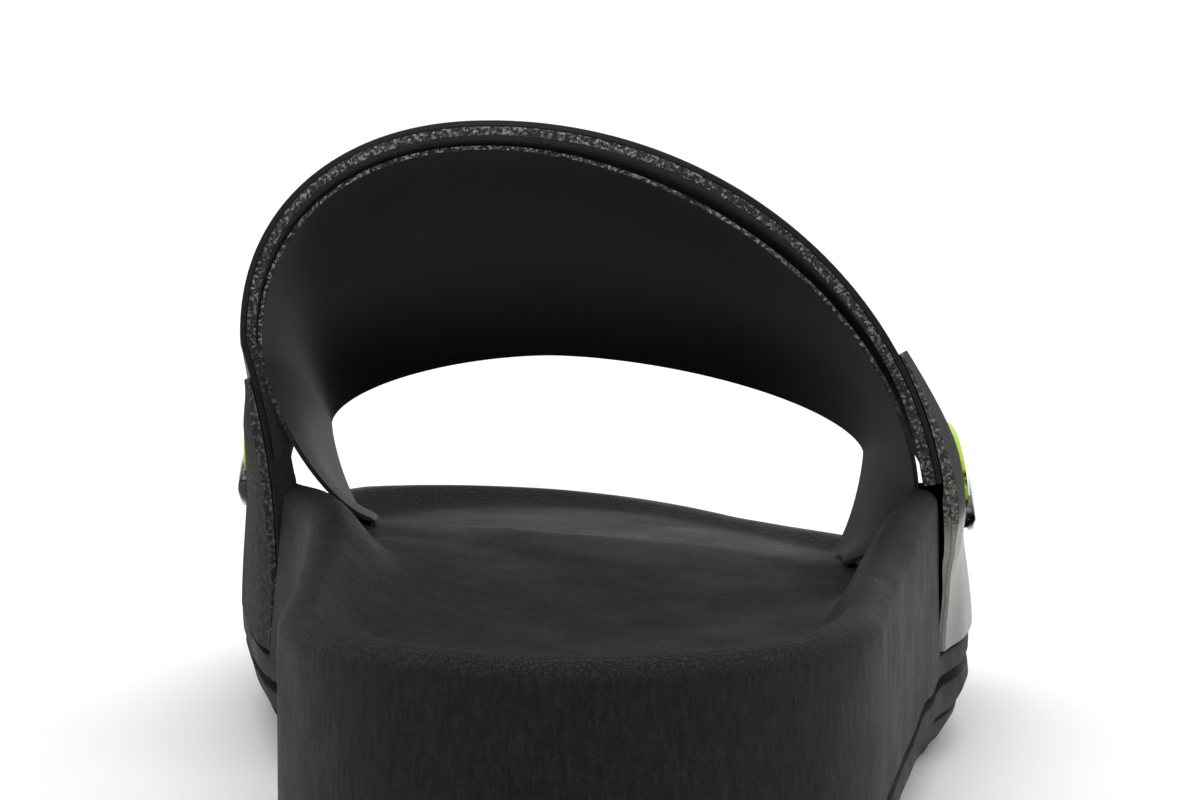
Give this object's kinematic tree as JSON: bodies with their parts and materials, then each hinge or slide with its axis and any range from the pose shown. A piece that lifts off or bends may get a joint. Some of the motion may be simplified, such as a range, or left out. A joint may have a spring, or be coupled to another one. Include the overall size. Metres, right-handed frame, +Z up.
{
  "type": "sport slide sandal",
  "caption": "Right-foot slide sandal: contoured moulded footbed with a raised rim, grooved sole band, and one broad lined strap over the instep with side panels and plain badges.",
  "frame": {"origin": "middle of the footprint's bounding box, at floor level", "axes": "+Y from heel to toe, +X to the outer (lateral) side of this right shoe, +Z up"},
  "size_m": [0.1086, 0.285, 0.088],
  "materials": {
    "outsole": "matt",
    "midsole": "matt, leather-like grain",
    "upper": "satin synthetic skin",
    "strap_lining": "smooth satin",
    "side_panel": "semi-gloss, fine grain",
    "badge_backing": "satin",
    "badge": "gloss"
  },
  "bodies": {
    "root": {"outsole": "outsole", "midsole": "midsole", "upper": "upper", "strap_lining": "strap_lining", "side_panel_medial": "side_panel", "side_panel_lateral": "side_panel", "badge_backing_medial": "badge_backing", "badge_backing_lateral": "badge_backing", "badge_medial": "badge", "badge_lateral": "badge"}
  },
  "joints": []
}
